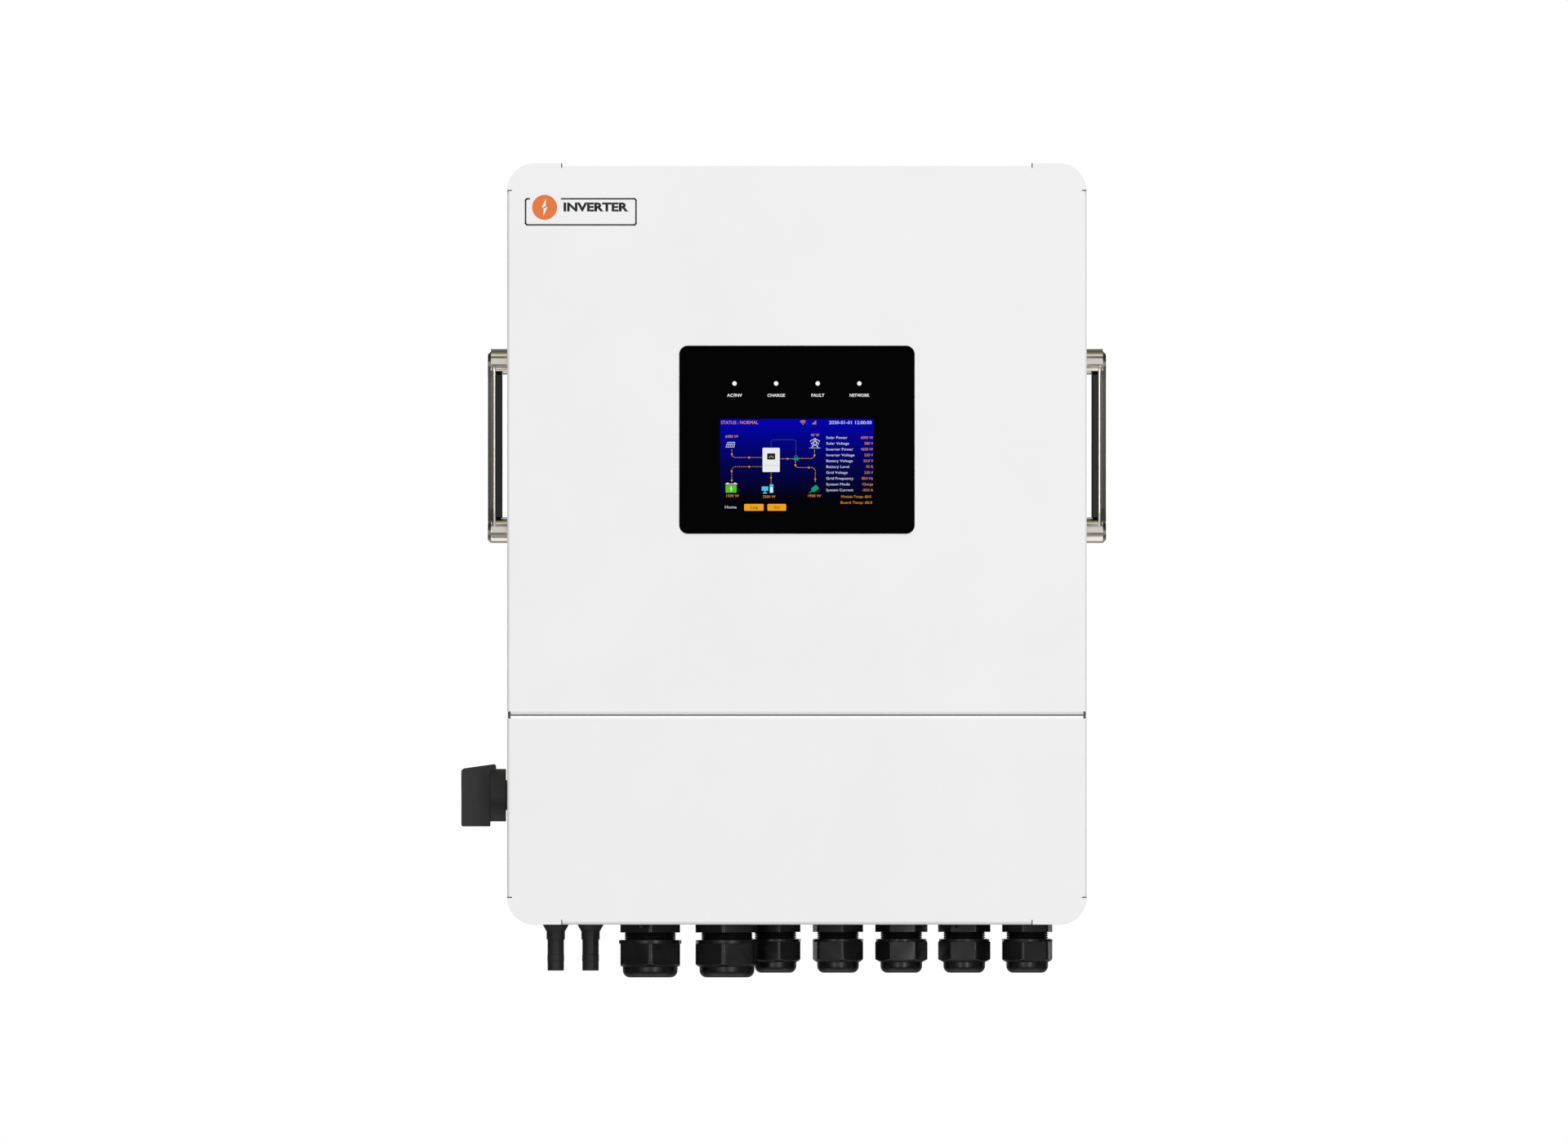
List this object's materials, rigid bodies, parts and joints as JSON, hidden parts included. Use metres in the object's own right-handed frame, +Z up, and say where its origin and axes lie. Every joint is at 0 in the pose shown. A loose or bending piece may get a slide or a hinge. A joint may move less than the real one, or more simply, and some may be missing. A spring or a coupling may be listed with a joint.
{
  "type": "string inverter",
  "caption": "Wall-hung hybrid solar inverter with a folded sheet enclosure, touch screen, side handles, rotary solar switch, fan-cooled heat sink, solar sockets and cable glands underneath.",
  "frame": {"origin": "centre of the wall bracket's four bolt holes, on the wall plane", "axes": "+X to the right seen from the front, +Y into the wall, +Z up; the front faces -Y"},
  "size_m": [0.4541, 0.1806, 0.5732],
  "materials": {
    "white_powder_coat": "satin powder coat, off-white",
    "zinc_plated_steel": "bright zinc plate",
    "black_oxide_steel": "chemically blackened",
    "epdm_rubber": "matt black",
    "display_glass": "black-printed cover glass, gloss",
    "screen": "lit liquid crystal screen",
    "black_abs": "moulded, fine texture",
    "circuit_board": "solder mask over glass epoxy",
    "clear_acrylic": "clear light guide",
    "ferrite": "fired ferrite with varnished winding",
    "grey_polyamide": "moulded grey",
    "tinned_shell": "tinned",
    "brass": "bare",
    "black_nylon": "moulded satin",
    "extruded_aluminium": "as extruded",
    "polished_nickel": "polished"
  },
  "bodies": {
    "enclosure": {"upper_cover": "white_powder_coat", "left_side_panel": "white_powder_coat", "right_side_panel": "white_powder_coat", "top_panel": "white_powder_coat", "gland_plate": "white_powder_coat", "rear_panel": "white_powder_coat", "divider_shelf": "zinc_plated_steel", "duct_sides": "zinc_plated_steel", "fan_tray": "zinc_plated_steel", "wall_bracket": "zinc_plated_steel", "hanger_rail": "zinc_plated_steel", "lower_tabs": "zinc_plated_steel", "fan_guards": "zinc_plated_steel", "upper_cover_screws": "zinc_plated_steel", "handle_screws": "zinc_plated_steel", "battery_studs": "zinc_plated_steel", "ac_terminal_screws": "zinc_plated_steel", "board_standoffs": "zinc_plated_steel", "lower_cover_screws": "black_oxide_steel", "upper_gasket": "epdm_rubber", "gland_seals": "epdm_rubber", "handle_grips": "epdm_rubber", "display_glass": "display_glass", "lcd_module": "screen", "display_bezel": "black_abs", "dc_switch_body": "black_abs", "bus_capacitors": "black_abs", "power_modules": "black_abs", "battery_terminal_block": "black_abs", "fan_frames": "black_abs", "display_board": "circuit_board", "main_board": "circuit_board", "control_board": "circuit_board", "comm_board": "circuit_board", "led_light_pipes": "clear_acrylic", "boost_inductors": "ferrite", "isolation_transformer": "ferrite", "grid_relays": "grey_polyamide", "ac_terminal_block": "grey_polyamide", "comm_sockets": "tinned_shell", "earth_bar": "brass", "pv_connectors": "black_nylon", "gland_bodies": "black_nylon", "entry_locknuts": "black_nylon", "heat_sink": "extruded_aluminium", "handles": "polished_nickel"},
    "lower_cover": {"lower_cover": "white_powder_coat", "lower_gasket": "epdm_rubber"},
    "switch_knob": {"dc_switch_knob": "black_abs", "dc_switch_shaft": "zinc_plated_steel"},
    "fan_rotor_1": {"fan_rotor_1": "black_abs"},
    "fan_rotor_2": {"fan_rotor_2": "black_abs"},
    "fan_rotor_3": {"fan_rotor_3": "black_abs"},
    "gland_nut_1": {"gland_nut_1": "black_nylon"},
    "gland_nut_2": {"gland_nut_2": "black_nylon"},
    "gland_nut_3": {"gland_nut_3": "black_nylon"},
    "gland_nut_4": {"gland_nut_4": "black_nylon"},
    "gland_nut_5": {"gland_nut_5": "black_nylon"},
    "gland_nut_6": {"gland_nut_6": "black_nylon"},
    "gland_nut_7": {"gland_nut_7": "black_nylon"}
  },
  "joints": [
    {"name": "lower_cover_slide", "type": "slide", "parent": "enclosure", "child": "lower_cover", "axis": [0, -1, 0], "range_m": [0, 0.08]},
    {"name": "switch_turn", "type": "hinge", "parent": "enclosure", "child": "switch_knob", "pos_m": [-0.204, -0.128, -0.3239], "axis": [-1, 0, 0], "range_deg": [0, 90]},
    {"name": "fan_spin_1", "type": "hinge", "parent": "enclosure", "child": "fan_rotor_1", "pos_m": [-0.105, -0.04675, -0.3225], "axis": [0, 0, 1], "continuous": true},
    {"name": "fan_spin_2", "type": "hinge", "parent": "enclosure", "child": "fan_rotor_2", "pos_m": [0, -0.04675, -0.3225], "axis": [0, 0, 1], "continuous": true},
    {"name": "fan_spin_3", "type": "hinge", "parent": "enclosure", "child": "fan_rotor_3", "pos_m": [0.105, -0.04675, -0.3225], "axis": [0, 0, 1], "continuous": true},
    {"name": "gland_nut_turn_1", "type": "hinge", "parent": "enclosure", "child": "gland_nut_1", "pos_m": [-0.1033, -0.138, -0.435], "axis": [0, 0, -1], "range_deg": [0, 720]},
    {"name": "gland_nut_turn_2", "type": "hinge", "parent": "enclosure", "child": "gland_nut_2", "pos_m": [-0.0493, -0.138, -0.435], "axis": [0, 0, -1], "range_deg": [0, 720]},
    {"name": "gland_nut_turn_3", "type": "hinge", "parent": "enclosure", "child": "gland_nut_3", "pos_m": [-0.0151, -0.11, -0.435], "axis": [0, 0, -1], "range_deg": [0, 720]},
    {"name": "gland_nut_turn_4", "type": "hinge", "parent": "enclosure", "child": "gland_nut_4", "pos_m": [0.0289, -0.11, -0.435], "axis": [0, 0, -1], "range_deg": [0, 720]},
    {"name": "gland_nut_turn_5", "type": "hinge", "parent": "enclosure", "child": "gland_nut_5", "pos_m": [0.0735, -0.11, -0.435], "axis": [0, 0, -1], "range_deg": [0, 720]},
    {"name": "gland_nut_turn_6", "type": "hinge", "parent": "enclosure", "child": "gland_nut_6", "pos_m": [0.1178, -0.11, -0.435], "axis": [0, 0, -1], "range_deg": [0, 720]},
    {"name": "gland_nut_turn_7", "type": "hinge", "parent": "enclosure", "child": "gland_nut_7", "pos_m": [0.1621, -0.11, -0.435], "axis": [0, 0, -1], "range_deg": [0, 720]}
  ]
}
